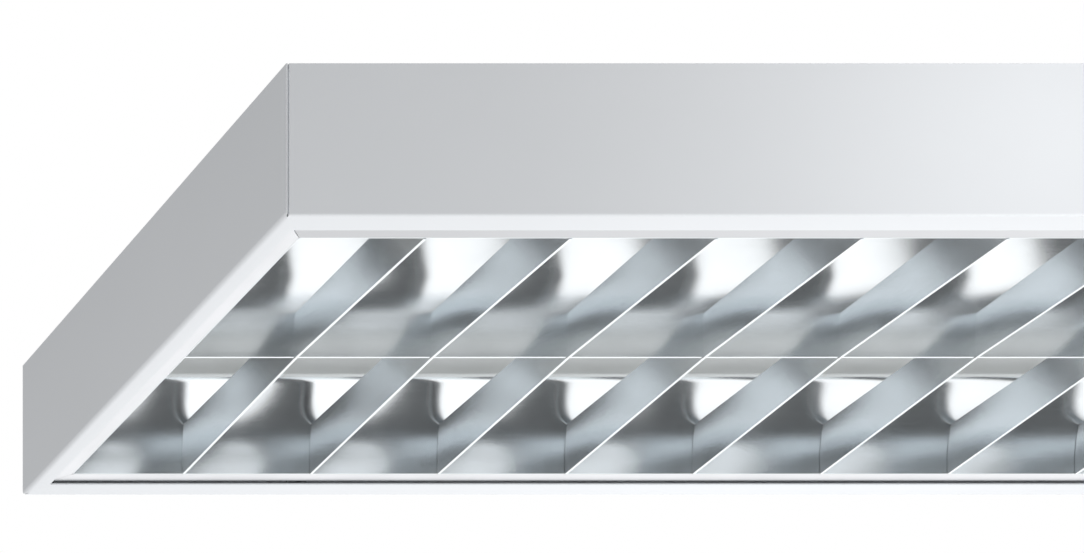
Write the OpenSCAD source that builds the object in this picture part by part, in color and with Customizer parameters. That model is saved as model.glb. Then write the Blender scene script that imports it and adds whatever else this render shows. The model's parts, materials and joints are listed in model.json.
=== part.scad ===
// Louvered ceiling light for two straight fluorescent tubes, opened from below by a hinged louvre.
// Zero is the centre of the top plate's upper face. +X runs along the tubes and +Z is up.
// The near long side faces -Y, and the louvre's hinges are at the far long side. Lengths are millimetres.

/* [Lamps] */
// Length of a tube over its two metal caps, without the pins
lamp_l = 1199.4; // [1140:0.1:1500]
// Diameter of a tube
lamp_d = 26; // [16:0.5:28]
// Depth of a tube's axis below the top plate's upper face
lamp_drop = 34; // [32:0.5:38]
// Length of a metal cap
lamp_cap_l = 11.5; // [9:0.5:20]
// How deep a cap takes the glass
cap_seat = 6; // [3:0.5:7]
// Wall of the glass
glass_t = 0.8; // [0.6:0.1:1.5]
// Radius of a pin
pin_r = 1.18; // [1:0.01:1.3]
// Distance between a cap's two pins
pin_spacing = 12.7; // [9:0.1:13]
// Length of a pin
pin_l = 7.1; // [5:0.1:7.5]

/* [Housing] */
// Width of the housing
body_w = 295; // [290:1:330]
// Height of the housing
body_h = 104; // [102:1:130]
// Sheet of the housing and its end caps
sheet_t = 1; // [0.8:0.1:1.4]
// Width of the lip that runs round the opening
lip_w = 13.5; // [11:0.5:15]
// Outer radius of an end cap's lower fold
fold_r = 3.5; // [2:0.5:5]
// Outer radius of the long sides' lower folds
side_fold_r = 1.5; // [1.4:0.1:4]
// Length of an end cap's inner flanges
flange_l = 12; // [9:0.5:14]

/* [Louvre] */
// Dark gap between the lip and the louvre
louvre_gap = 1.5; // [1.2:0.1:2.5]
// How far the louvre lies above the lip's lower face
louvre_recess = 2; // [1:0.25:4]
// Width of the louvre's flat border along its long sides
band_w = 8.5; // [8:0.5:12]
// Width of the louvre's flat border at its ends
end_band_w = 11; // [8:0.5:14]
// Sheet of the four border rails
rail_t = 1; // [0.8:0.1:1.2]
// Height of a border rail
rail_h = 6.5; // [5:0.5:8]
// Height of the side and centre reflectors' upper edges above the border
reflector_h = 76; // [66:1:78]
// Height at which the side reflectors' curved faces turn upright
curve_h = 60; // [50:1:62]
// Half the height of the bend that turns them upright
bend_half = 3; // [1:0.5:4]
// How far the blades' lower edges rise from the border to the centre reflector
centre_rise = 4.8; // [0:0.2:8]
// How far a side reflector's face would lean over the row at its bend
reflector_lean = 24; // [16:1:24]
// How far each wall of the centre reflector leans out at its top
centre_lean = 34; // [28:1:42]
// How sharply a reflector's face curves towards its top
reflector_curve = 2.5; // [1.8:0.1:3]
// Sheet of the reflectors
reflector_t = 0.6; // [0.4:0.05:0.7]
// Half the width of the centre reflector's lower edge
centre_edge = 0.8; // [0.8:0.1:1.5]
// Height of the end reflectors
end_reflector_h = 48; // [35:1:50]
// Length of an end cell as a share of the length of the cells between two cross blades
end_cell_share = 0.861; // [0.5:0.001:1]
// Height of a cross blade at its ends
blade_h = 35; // [25:0.5:45]
// Width of a cross blade at its top
blade_w = 8; // [6:0.5:14]
// Half the width of a cross blade's lower edge
blade_edge = 0.8; // [0.7:0.1:1.2]
// How sharply a cross blade's faces curve towards its top
blade_curve = 2; // [1.5:0.1:3]
// Sheet of a cross blade
blade_t = 0.5; // [0.3:0.05:0.6]

/* [Gear tray] */
// Depth of the tray's wings below the top plate's upper face
tray_drop = 12; // [8:0.5:14]
// Depth of the tray's middle channel
channel_drop = 36; // [33:0.5:38]
// Half the width of the channel at its bottom
channel_half = 22; // [19:0.5:26]
// Half the width of the channel where it meets the wings
channel_top_half = 30; // [28:0.5:34]
// Half the width over the tray's wings
tray_half_w = 100; // [90:1:110]
// Width of the tray's outer feet
tray_foot_w = 12; // [9:0.5:16]
// Sheet of the tray
tray_t = 0.8; // [0.6:0.1:1]

/* [Mounting] */
// Distance between the mounting holes along the fixture
mount_x = 900; // [600:10:1000]
// Distance between the mounting holes across the fixture
mount_y = 180; // [150:5:190]
// Radius of a mounting hole
mount_r = 2.75; // [2:0.25:4]
// Place of the cable entry along the fixture
entry_x = 40; // [30:1:50]
// Radius of the cable entry's bore
entry_r = 5; // [3:0.5:6]

/* [Hidden] */

// Roundness of small round pieces
$fn = 48;
// Cross blades, counted from the left
blade_count = 11;
// Straight steps that stand for a reflector's curve and for a blade's
reflector_steps = 16;
bend_steps = 4;
blade_steps = 8;
// Straight steps in an end cap's lower fold
fold_steps = 6;
// One overrun for all cuts
cut = 1;
// Clearance of pieces that are set into each other
fit = 0.2;
// Clearance of pieces that turn in each other
turn_fit = 0.08;
// Clearance of a pin or rivet in its hole
pin_fit = 0.03;
// Gap in a mitred corner of the louvre's border
mitre_gap = 0.1;

// Lampholders: length, width, depth of the recess, rotor's radius and gaps in front and behind
holder_l = 14;
holder_w = 24;
recess_d = 9;
rotor_r = 8.5;
rotor_l = 8;
rotor_back = 1;
lamp_gap = 0.5;
holder_back_gap = 2.8;
entry_slot_w = 3;
wire_hole_r = 3;

// Overall length follows from the tubes and what holds them
half_l = lamp_l / 2 + lamp_gap + holder_l + holder_back_gap + sheet_t;
half_w = body_w / 2;
inner_x = half_l - sheet_t;
inner_y = half_w - sheet_t;
lip_x = half_l - lip_w;
lip_y = half_w - lip_w;

// The louvre's outer edge, and the edge of the open rows inside its border
rail_x = lip_x - louvre_gap;
rail_y = lip_y - louvre_gap;
row_x = rail_x - end_band_w;
row_y = rail_y - band_w;
blade_pitch = 2 * row_x / (blade_count - 1 + 2 * end_cell_share);
louvre_z = louvre_recess - body_h;
lamp_y = (row_y + centre_edge) / 2;
lamp_r = lamp_d / 2;

// Top flange of an end cap, its rivets and their heads
cap_flange_half = 92;
flange_gap = 2;
rivet_r = 1.6;
rivet_head_r = 3;
rivet_head_t = 1.2;
rivet_spread = 70;

// Tray screws
tray_screw_x = 300;
screw_r = 2;
screw_head_r = 3.6;
screw_head_t = 2.4;
screw_slot_w = 1;
screw_slot_d = 0.8;
tray_end_gap = 2;

// Ballast, with an end tab for each screw
ballast_l = 359;
ballast_w = 30;
ballast_t = 21;
ballast_x = -420;
tab_l = 12;
tab_t = 1;

// Terminal block and earth screw
terminal_l = 40;
terminal_w = 18;
terminal_t = 16;
terminal_x = 85;
terminal_poles = 3;
terminal_hole_r = 2;
terminal_hole_z = 10;
earth_x = 150;
washer_r = 5;
washer_t = 1;

// Cable grommet
grommet_wall = 3;
grommet_flange = 2.5;
grommet_t = 2;

// Wires, with a direction that none of their runs takes
wire_r = 1.2;
wire_sides = 10;
wire_reference = [0, 1, 1];
wire_low = 14;
wire_high = 8;
wire_start_y = 11;
wire_run_y = 14;
wire_rise_l = 20;
wire_end_l = 18;
wire_pitch = 5;
supply_z = 12;

// Hinges: place along the fixture, axis in from the rail's edge and above the rail's lower face
hinge_x = 400;
hinge_in = 3.5;
hinge_up = 4.5;
hinge_pin_r = 1.2;
barrel_r = 2.5;
barrel_l = 12;
ear_t = 1.5;
ear_gap = 0.4;
pin_over = 0.6;
bracket_h = 20;
arm_rise = 5;
arm_h = 4;
bracket_t = 1.2;
notch_side = 1;
hinge_y = rail_y - hinge_in;
hinge_z = louvre_z + hinge_up;
bracket_half = barrel_l / 2 + ear_gap + ear_t;

// Spring catches: width, sheet, free height on the wall and gap to the rail
catch_l = 24;
catch_t = 0.6;
catch_h = 20;
catch_gap = 0.3;
catch_arm_z = 3.5;
catch_lip = 4.5;

// Foot of a side reflector on the rail
foot_w = 2;

// Runs a flat outline drawn in Y and Z along X, both ways from the middle
module along_x(length) {
    rotate([90, 0, 90])
        linear_extrude(height = length, center = true)
            children();
}

// Runs a flat outline drawn in X and Z along Y, both ways from the middle
module along_y(length) {
    rotate([90, 0, 0])
        linear_extrude(height = length, center = true)
            children();
}

// A box given by its lowest and highest corners
module block(low, high) {
    translate(low)
        cube(high - low);
}

// The child and its mirror image across the fixture's length
module both_y() {
    children();
    mirror([0, 1, 0])
        children();
}

// The child and its mirror image across the fixture's width
module both_x() {
    children();
    mirror([1, 0, 0])
        children();
}

// A face that starts upright and leans more and more up to h, where a bend of half height r turns it upright
function lean(z, h, w, p, r = 0) = let (u = min(z - h + r, 2 * r))
    u <= 0 ? w * pow(z / h, p) : lean(h - r, h, w, p) + slope(h - r, h, w, p) * (u - u * u / (4 * r));
function slope(z, h, w, p, r = 0) = let (u = min(z - h + r, 2 * r))
    u <= 0 ? w * p / h * pow(z / h, p - 1) : slope(h - r, h, w, p) * (1 - u / (2 * r));
// The heights of its points up to stop
function heights(h, r, stop, steps) = stop <= h ? [for (i = [0:steps]) stop * i / steps] :
    concat([for (i = [0:steps]) (h - r) * i / steps], [for (i = [1:bend_steps]) h - r + 2 * r * i / bend_steps],
        [stop]);
// The face's points, begun at edge, and the same face set back by t without its lowest point
function face(edge, h, w, p, stop, steps, r = 0) =
    [for (z = heights(h, r, stop, steps)) [edge + lean(z, h, w, p, r), z]];
function back(edge, h, w, p, stop, steps, t, r = 0) =
    [for (z = heights(h, r, stop, steps)) if (z > 0)
        let (s = slope(z, h, w, p, r), q = sqrt(1 + s * s))
        [edge + lean(z, h, w, p, r) - t / q, z + t * s / q]];
// The face of a side or end reflector, as its distance over the row and its height
function side_face(stop) = face(0, curve_h, reflector_lean, reflector_curve, stop, reflector_steps, bend_half);
function side_back(stop) =
    back(0, curve_h, reflector_lean, reflector_curve, stop, reflector_steps, reflector_t, bend_half);
function reversed(list) = [for (i = [len(list) - 1:-1:0]) list[i]];
function mirrored(list) = [for (p = list) [-p[0], p[1]]];

// Section of a folded V: a lower edge and two curved walls of sheet
module folded_v(edge, h, w, p, steps, t) {
    outer = face(edge, h, w, p, h, steps);
    inner = concat([[edge - t, t]], back(edge, h, w, p, h, steps, t));
    polygon(concat(outer, reversed(inner), mirrored(inner), reversed(mirrored(outer))));
}

// The same V filled, cut level at stop and grown by a clearance, for the slots that it passes through
module filled_v(edge, h, w, p, steps, stop, gap) {
    side = [for (q = face(edge, h, w, p, stop, steps)) [q[0] + gap, q[1]]];
    foot = [[edge + gap, -cut]];
    top = [[edge + lean(stop, h, w, p) + gap, stop + gap]];
    right = concat(foot, side, top);
    polygon(concat(right, reversed(mirrored(right))));
}

// The open space of both rows in Y and Z, inside the side reflectors' faces
module rows_outline(gap) {
    side = [for (q = side_face(reflector_h)) [row_y - gap - q[0], q[1]]];
    polygon(concat(side, reversed(mirrored(side))));
}

// The open length of the rows in X and Z, inside the end reflectors' faces
module ends_outline(gap) {
    side = [for (q = side_face(reflector_h)) [row_x - gap - q[0], q[1]]];
    polygon(concat(side, reversed(mirrored(side))));
}

// A slotted screw seen from below, its head's upper face at the child's zero
module screw(shank_l) {
    cylinder(r = screw_r - pin_fit, h = shank_l);
    difference() {
        translate([0, 0, -screw_head_t])
            cylinder(r = screw_head_r, h = screw_head_t);
        block([-screw_head_r - cut, -screw_slot_w / 2, -screw_head_t - cut],
            [screw_head_r + cut, screw_slot_w / 2, screw_slot_d - screw_head_t]);
    }
}

// Points of a lower fold of sheet, outer radius r, at a wall whose outer face is at edge
function fold_arc(edge, r, bend) =
    [for (i = [0:fold_steps]) let (a = -90 * i / fold_steps)
        [edge - r + bend * cos(a), r - body_h + bend * sin(a)]];
// Section of a wall with its lower fold and lip, from the underside of the top plate's face down
module wall_section(edge, r, lip_end) {
    polygon(concat([[edge, 0]], fold_arc(edge, r, r), [[lip_end, -body_h], [lip_end, sheet_t - body_h]],
        reversed(fold_arc(edge, r, r - sheet_t)), [[edge - sheet_t, 0]]));
}

// Folded steel tray: top plate, two long walls and the lips along their lower edges
module housing() {
    color("whitesmoke")
        difference() {
            union() {
                block([-inner_x, -half_w, -sheet_t], [inner_x, half_w, 0]);
                both_y()
                    intersection() {
                        along_x(2 * inner_x)
                            wall_section(half_w, side_fold_r, lip_y);
                        translate([0, 0, -body_h])
                            linear_extrude(height = body_h)
                                polygon([[-inner_x, half_w], [inner_x, half_w], [inner_x, inner_y],
                                    [lip_x, lip_y], [-lip_x, lip_y], [-inner_x, inner_y]]);
                    }
            }
            for (x = [-mount_x, mount_x] / 2, y = [-mount_y, mount_y] / 2)
                top_hole(x, y, mount_r);
            for (x = [-tray_screw_x, tray_screw_x], y = [-1, 1] * tray_screw_y())
                top_hole(x, y, screw_r);
            for (x = ballast_screw_places())
                top_hole(x, 0, screw_r);
            for (x = [-rivet_x(), rivet_x()], y = [-rivet_spread, 0, rivet_spread])
                top_hole(x, y, rivet_r);
            top_hole(earth_x, 0, screw_r);
            top_hole(entry_x, 0, entry_r + grommet_wall);
        }
}

// A round hole through the top plate
module top_hole(x, y, r) {
    translate([x, y, -sheet_t - cut])
        cylinder(r = r, h = sheet_t + 2 * cut);
}

function rivet_x() = inner_x - flange_l / 2;
function tray_screw_y() = tray_half_w + tray_foot_w / 2;
function ballast_screw_places() = [ballast_x - tab_l / 2, ballast_x + ballast_l + tab_l / 2];

// Right end cap: outer plate, rounded lower fold, mitred lip and three inner flanges
module end_cap() {
    color("whitesmoke")
        difference() {
            union() {
                intersection() {
                    along_y(body_w)
                        wall_section(half_l, fold_r, lip_x);
                    translate([0, 0, -body_h])
                        linear_extrude(height = body_h)
                            polygon([[inner_x, -half_w], [half_l, -half_w], [half_l, half_w],
                                [inner_x, half_w], [inner_x, inner_y], [lip_x, lip_y],
                                [lip_x, -lip_y], [inner_x, -inner_y]]);
                }
                block([inner_x - flange_l, -cap_flange_half, -2 * sheet_t],
                    [inner_x + sheet_t / 2, cap_flange_half, -sheet_t]);
                both_y()
                    block([inner_x - flange_l, inner_y - sheet_t, 2 * sheet_t - body_h],
                        [inner_x + sheet_t / 2, inner_y, -sheet_t - flange_gap]);
            }
            for (y = [-rivet_spread, 0, rivet_spread])
                translate([rivet_x(), y, -2 * sheet_t - cut])
                    cylinder(r = rivet_r, h = 2 * sheet_t + cut);
        }
}

// Rivets of the right end cap, flush with the top plate
module rivets() {
    color("silver")
        for (y = [-rivet_spread, 0, rivet_spread])
            translate([rivet_x(), y, -2 * sheet_t]) {
                cylinder(r = rivet_r - pin_fit, h = 2 * sheet_t);
                translate([0, 0, -rivet_head_t])
                    cylinder(r1 = rivet_r, r2 = rivet_head_r, h = rivet_head_t);
            }
}

// White folded tray: channel over the ballast, wings over the tubes and feet under the top plate
module gear_tray() {
    tray_x = inner_x - tray_end_gap;
    under = tray_t;
    color("white")
        difference() {
            union() {
                block([-tray_x, -channel_half, -channel_drop], [tray_x, channel_half, under - channel_drop]);
                both_y()
                    along_x(2 * tray_x)
                        polygon([[channel_half, -channel_drop], [channel_top_half, -tray_drop - under],
                            [channel_top_half, -tray_drop], [channel_top_half - under, -tray_drop],
                            [channel_half - under, under - channel_drop], [channel_half - under, -channel_drop]]);
                both_y()
                    block([-tray_x, channel_top_half, -tray_drop - under], [tray_x, tray_half_w, -tray_drop]);
                both_y()
                    block([-tray_x, tray_half_w - under, -tray_drop], [tray_x, tray_half_w, -sheet_t]);
                both_y()
                    block([-tray_x, tray_half_w, -sheet_t - under],
                        [tray_x, tray_half_w + tray_foot_w, -sheet_t]);
            }
            for (x = [-tray_screw_x, tray_screw_x], y = [-1, 1] * tray_screw_y())
                translate([x, y, -sheet_t - under - cut])
                    cylinder(r = screw_r, h = under + 2 * cut);
            both_x()
                both_y()
                    translate([holder_mid(), lamp_y, -tray_drop - under - cut])
                        cylinder(r = wire_hole_r, h = under + 2 * cut);
        }
}

function holder_front() = lamp_l / 2 + lamp_gap;
function holder_mid() = holder_front() + holder_l / 2;

// Four screws through the tray's feet
module tray_screws() {
    color("silver")
        for (x = [-tray_screw_x, tray_screw_x], y = [-1, 1] * tray_screw_y())
            translate([x, y, -sheet_t - tray_t])
                screw(sheet_t + tray_t);
}

// Long metal case with a tab at each end, screwed under the top plate
module ballast() {
    color("lightgray")
        difference() {
            union() {
                block([ballast_x, -ballast_w / 2, -sheet_t - ballast_t],
                    [ballast_x + ballast_l, ballast_w / 2, -sheet_t]);
                block([ballast_x - tab_l, -ballast_w / 2, -sheet_t - tab_t],
                    [ballast_x + ballast_l + tab_l, ballast_w / 2, -sheet_t]);
            }
            for (x = ballast_screw_places())
                translate([x, 0, -sheet_t - tab_t - cut])
                    cylinder(r = screw_r, h = tab_t + 2 * cut);
        }
}

// One screw through each tab of the ballast
module ballast_screws() {
    color("silver")
        for (x = ballast_screw_places())
            translate([x, 0, -sheet_t - tab_t])
                screw(sheet_t + tab_t);
}

// Terminal block with a hole for each wire
module terminal_block() {
    color("white")
        difference() {
            block([terminal_x, -terminal_w / 2, -sheet_t - terminal_t],
                [terminal_x + terminal_l, terminal_w / 2, -sheet_t]);
            for (i = [0:terminal_poles - 1])
                translate([terminal_x - cut, (i - (terminal_poles - 1) / 2) * wire_pitch, -supply_z])
                    rotate([0, 90, 0])
                        cylinder(r = terminal_hole_r, h = terminal_hole_z + cut);
        }
}

// Earth screw with its washer
module earth_screw() {
    color("gold")
        translate([earth_x, 0, -sheet_t - washer_t]) {
            cylinder(r = washer_r, h = washer_t);
            screw(sheet_t + washer_t);
        }
}

// Rubber ring in the cable entry, flush with the top plate
module cable_grommet() {
    ring_r = entry_r + grommet_wall;
    color("dimgray")
        difference() {
            union() {
                translate([entry_x, 0, -sheet_t - grommet_t])
                    cylinder(r = ring_r - pin_fit, h = sheet_t + grommet_t);
                translate([entry_x, 0, -sheet_t - grommet_t])
                    cylinder(r = ring_r + grommet_flange, h = grommet_t);
            }
            translate([entry_x, 0, -sheet_t - grommet_t - cut])
                cylinder(r = entry_r, h = sheet_t + grommet_t + 2 * cut);
        }
}

// A wire swept through a list of points, with a ring of wire_sides points square to its way at each
module wire(points) {
    last = len(points) - 1;
    rings = [for (i = [0:last])
        let (way = unit(unit(points[min(i + 1, last)] - points[min(i, last - 1)])
                + unit(points[max(i, 1)] - points[max(i - 1, 0)])),
            side = unit(cross(way, wire_reference)),
            up = cross(way, side))
        for (k = [0:wire_sides - 1])
            let (a = 360 * k / wire_sides)
            points[i] + wire_r * (side * cos(a) + up * sin(a))];
    walls = [for (i = [0:last - 1], k = [0:wire_sides - 1])
        let (n = (k + 1) % wire_sides, low = i * wire_sides, high = low + wire_sides)
        each [[low + k, high + k, high + n], [low + k, high + n, low + n]]];
    start = [for (k = [1:wire_sides - 2]) [0, k, k + 1]];
    final = last * wire_sides;
    end = [for (k = [1:wire_sides - 2]) [final, final + k + 1, final + k]];
    polyhedron(points = rings, faces = concat(walls, start, end));
}

function unit(v) = v / norm(v);

// Wires from an end of the ballast at start_x to the two lampholders of the right end
module lamp_wires(start_x) {
    color("ivory")
        both_y()
            wire([
                [start_x, wire_start_y, -wire_low],
                [start_x + wire_rise_l, wire_run_y, -supply_z],
                [holder_mid() - wire_end_l, wire_run_y, -wire_high],
                [holder_mid(), lamp_y, -wire_high],
                [holder_mid(), lamp_y, -tray_drop - tray_t]
            ]);
}

// Supply wires from the terminal block to the ballast
module wiring_supply() {
    color("ivory")
        for (i = [0:terminal_poles - 1])
            let (y = (i - (terminal_poles - 1) / 2) * wire_pitch)
                wire([[ballast_x + ballast_l, y, -supply_z], [terminal_x + terminal_hole_z, y, -supply_z]]);
}

// Lampholder of the right end, on the far row
module holder() {
    color("white")
        difference() {
            union() {
                block([holder_front(), lamp_y - holder_w / 2, -lamp_drop],
                    [holder_front() + holder_l, lamp_y + holder_w / 2, -tray_drop - tray_t]);
                translate([holder_front(), lamp_y, -lamp_drop])
                    rotate([0, 90, 0])
                        cylinder(r = holder_w / 2, h = holder_l);
            }
            translate([holder_front() - cut, lamp_y, -lamp_drop])
                rotate([0, 90, 0])
                    cylinder(r = rotor_r + turn_fit, h = recess_d + cut);
            block([holder_front() - cut, lamp_y - entry_slot_w / 2, -lamp_drop - holder_w / 2 - cut],
                [holder_front() + recess_d, lamp_y + entry_slot_w / 2, -lamp_drop]);
        }
}

// Turning part of that lampholder, its slot lying across at rest
module rotor() {
    slot_w = 2 * pin_r + fit;
    color("gainsboro")
        difference() {
            translate([holder_front(), lamp_y, -lamp_drop])
                rotate([0, 90, 0])
                    cylinder(r = rotor_r, h = rotor_l);
            block([holder_front() - cut, lamp_y - rotor_r - cut, -lamp_drop - slot_w / 2],
                [holder_front() + rotor_l - rotor_back, lamp_y + rotor_r + cut, -lamp_drop + slot_w / 2]);
        }
}

// Glass tube of the far row
module tube() {
    glass_x = lamp_l / 2 - lamp_cap_l + cap_seat - fit;
    color("ivory")
        translate([-glass_x, lamp_y, -lamp_drop])
            rotate([0, 90, 0])
                difference() {
                    cylinder(r = lamp_r - glass_t - fit, h = 2 * glass_x);
                    translate([0, 0, -cut])
                        cylinder(r = lamp_r - 2 * glass_t - fit, h = 2 * glass_x + 2 * cut);
                }
}

// Metal cap of the right end of the far tube, with its two pins
module lamp_cap() {
    color("silver")
        translate([lamp_l / 2, lamp_y, -lamp_drop])
            rotate([0, 90, 0]) {
                difference() {
                    translate([0, 0, -lamp_cap_l])
                        cylinder(r = lamp_r, h = lamp_cap_l);
                    translate([0, 0, -lamp_cap_l - cut])
                        cylinder(r = lamp_r - glass_t, h = cap_seat + cut);
                }
                for (y = [-pin_spacing, pin_spacing] / 2)
                    translate([0, y, -cut])
                        cylinder(r = pin_r, h = pin_l + cut);
            }
}

// One border rail along X at the far side; its mitred ends run in by turn for each unit of its width
module rail(edge_x, edge_y, inner_edge, turn) {
    reach = edge_x - mitre_gap;
    run = turn * (edge_y - inner_edge);
    translate([0, 0, louvre_z])
        intersection() {
            union() {
                block([-reach, inner_edge, 0], [reach, edge_y, rail_t]);
                block([-reach, edge_y - rail_t, 0], [reach, edge_y, rail_h]);
            }
            linear_extrude(height = rail_h)
                polygon([[-reach, edge_y], [reach, edge_y], [reach - run, inner_edge], [run - reach, inner_edge]]);
        }
}

// Long border rail, inside which the side reflector stands
module long_rail() {
    rail(rail_x, rail_y, row_y + reflector_t + mitre_gap, end_band_w / band_w);
}

// Short border rail at the right end
module end_rail() {
    rotate([0, 0, -90])
        rail(rail_y, rail_x, row_x + reflector_t + mitre_gap, band_w / end_band_w);
}

// Far rail with the barrels of the two hinges
module rail_far() {
    barrel_half = barrel_l / 2;
    notch_half = bracket_half + notch_side;
    color("lightsteelblue")
        difference() {
            union() {
                difference() {
                    long_rail();
                    both_x()
                        block([hinge_x - notch_half, rail_y - rail_t - cut, louvre_z + rail_t],
                            [hinge_x + notch_half, rail_y + cut, louvre_z + rail_h + cut]);
                }
                both_x() {
                    translate([hinge_x - barrel_half, hinge_y, hinge_z])
                        rotate([0, 90, 0])
                            cylinder(r = barrel_r, h = barrel_l);
                    block([hinge_x - barrel_half, hinge_y - barrel_r, louvre_z + rail_t],
                        [hinge_x + barrel_half, hinge_y + barrel_r, hinge_z]);
                }
            }
            both_x()
                translate([hinge_x - barrel_half - cut, hinge_y, hinge_z])
                    rotate([0, 90, 0])
                        cylinder(r = hinge_pin_r + turn_fit, h = barrel_l + 2 * cut);
        }
}

// Side reflector of the far row: curved sheet and a foot on the rail
module side_reflector() {
    visible = [for (q = side_face(reflector_h)) [row_y - q[0], q[1]]];
    hidden = [for (q = side_back(reflector_h)) [row_y - q[0], q[1]]];
    section = concat(visible, reversed(hidden), [[row_y + reflector_t, 0]]);
    color("lightsteelblue")
        translate([0, 0, louvre_z])
            union() {
                along_x(2 * row_x)
                    polygon(section);
                along_x(2 * row_x)
                    translate([row_y + reflector_t / 2, rail_t])
                        square([reflector_t / 2 + foot_w, reflector_t]);
            }
}

// Centre reflector: folded V with a slot for each cross blade, its ends cut to the end reflectors
module reflector_centre() {
    color("lightsteelblue")
        translate([0, 0, louvre_z])
            difference() {
                intersection() {
                    translate([0, 0, centre_rise])
                        along_x(2 * row_x)
                            folded_v(centre_edge, reflector_h - centre_rise, centre_lean, reflector_curve,
                                reflector_steps, reflector_t);
                    along_y(2 * (centre_edge + centre_lean + cut))
                        ends_outline(fit);
                }
                for (i = [1:blade_count])
                    translate([blade_place(i), 0, centre_rise])
                        along_y(2 * (centre_edge + centre_lean + cut))
                            filled_v(blade_edge, blade_h, blade_w / 2 - blade_edge, blade_curve, blade_steps,
                                blade_h - centre_rise, fit);
            }
}

function blade_place(i) = (i - (blade_count + 1) / 2) * blade_pitch;

// End reflector of both rows at the right end, cut to the side reflectors
module end_reflector() {
    visible = [for (q = side_face(end_reflector_h)) [row_x - q[0], q[1]]];
    hidden = [for (q = side_back(end_reflector_h)) [row_x - q[0], q[1]]];
    section = concat(visible, reversed(hidden), [[row_x + reflector_t, 0]]);
    color("lightsteelblue")
        translate([0, 0, louvre_z])
            intersection() {
                union() {
                    along_y(2 * row_y)
                        polygon(section);
                    along_y(2 * row_y)
                        translate([row_x + reflector_t / 2, rail_t])
                            square([reflector_t / 2 + foot_w, reflector_t]);
                }
                along_x(2 * half_l)
                    rows_outline(fit);
            }
}

// Cross blade: folded V across both rows, its lower edge rising to the centre and its upper edge level
module cross_blade(i) {
    rise = atan(centre_rise / row_y);
    reach = row_y / cos(rise);
    color("lightsteelblue")
        translate([blade_place(i), 0, louvre_z])
            intersection() {
                both_y()
                    intersection() {
                        translate([0, row_y, 0])
                            rotate([-rise, 0, 0])
                                translate([0, -reach / 2, 0])
                                    along_y(reach + 2 * cut)
                                        folded_v(blade_edge, blade_h, blade_w / 2 - blade_edge, blade_curve,
                                            blade_steps, blade_t);
                        block([-blade_w, 0, -cut], [blade_w, row_y + cut, blade_h]);
                    }
                along_x(blade_w + 2 * cut)
                    rows_outline(fit);
            }
}

// Hinge bracket on the far wall: back plate and two ears that reach over the turning rail
module hinge_bracket() {
    plate_y = inner_y - bracket_t;
    arm_z = hinge_z + arm_rise;
    color("silver")
        difference() {
            union() {
                block([hinge_x - bracket_half, plate_y, hinge_z - barrel_r],
                    [hinge_x + bracket_half, inner_y, hinge_z - barrel_r + bracket_h]);
                for (side = [-1, 1])
                    translate([hinge_x + side * (bracket_half - ear_t / 2), 0, 0]) {
                        block([-ear_t / 2, hinge_y - barrel_r, hinge_z],
                            [ear_t / 2, hinge_y + barrel_r, arm_z + arm_h]);
                        block([-ear_t / 2, hinge_y, arm_z], [ear_t / 2, plate_y, arm_z + arm_h]);
                        translate([-ear_t / 2, hinge_y, hinge_z])
                            rotate([0, 90, 0])
                                cylinder(r = barrel_r, h = ear_t);
                    }
            }
            translate([hinge_x - bracket_half - cut, hinge_y, hinge_z])
                rotate([0, 90, 0])
                    cylinder(r = hinge_pin_r + pin_fit, h = 2 * (bracket_half + cut));
        }
}

// Pin through a bracket's ears and the rail's barrel
module hinge_pin() {
    color("gray")
        translate([hinge_x - bracket_half - pin_over, hinge_y, hinge_z])
            rotate([0, 90, 0])
                cylinder(r = hinge_pin_r, h = 2 * (bracket_half + pin_over));
}

// Spring catch on the near wall, its lip beside the near rail; drawn for the far wall
module spring_catch() {
    lip_at = rail_y + catch_gap;
    arm_z = louvre_z + catch_arm_z;
    color("silver")
        translate([hinge_x, 0, 0])
            along_x(catch_l) {
                translate([inner_y - catch_t, arm_z])
                    square([catch_t, catch_h]);
                translate([lip_at, arm_z])
                    square([inner_y - lip_at, catch_t]);
                translate([lip_at, arm_z])
                    square([catch_t, catch_lip]);
            }
}

housing();
mirror([1, 0, 0]) end_cap();  // end_cap_left
end_cap();  // end_cap_right
mirror([1, 0, 0]) rivets();  // rivets_left
rivets();  // rivets_right
gear_tray();
tray_screws();
ballast();
ballast_screws();
terminal_block();
earth_screw();
cable_grommet();
mirror([1, 0, 0]) lamp_wires(-ballast_x);  // wiring_left
lamp_wires(ballast_x + ballast_l);  // wiring_right
wiring_supply();
mirror([1, 0, 0]) mirror([0, 1, 0]) holder();  // holder_near_left
mirror([0, 1, 0]) holder();  // holder_near_right
mirror([1, 0, 0]) holder();  // holder_far_left
holder();  // holder_far_right
mirror([1, 0, 0]) mirror([0, 1, 0]) rotor();  // rotor_near_left
mirror([0, 1, 0]) rotor();  // rotor_near_right
mirror([1, 0, 0]) rotor();  // rotor_far_left
rotor();  // rotor_far_right
mirror([0, 1, 0]) tube();  // tube_near
tube();  // tube_far
mirror([1, 0, 0]) mirror([0, 1, 0]) lamp_cap();  // cap_near_left
mirror([0, 1, 0]) lamp_cap();  // cap_near_right
mirror([1, 0, 0]) lamp_cap();  // cap_far_left
lamp_cap();  // cap_far_right
color("lightsteelblue") mirror([0, 1, 0]) long_rail();  // rail_near
rail_far();
color("lightsteelblue") mirror([1, 0, 0]) end_rail();  // rail_left
color("lightsteelblue") end_rail();  // rail_right
mirror([0, 1, 0]) side_reflector();  // reflector_near
side_reflector();  // reflector_far
reflector_centre();
mirror([1, 0, 0]) end_reflector();  // reflector_left
end_reflector();  // reflector_right
for (i = [1:blade_count]) cross_blade(i);
mirror([1, 0, 0]) hinge_bracket();  // hinge_bracket_left
hinge_bracket();  // hinge_bracket_right
mirror([1, 0, 0]) hinge_pin();  // hinge_pin_left
hinge_pin();  // hinge_pin_right
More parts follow.
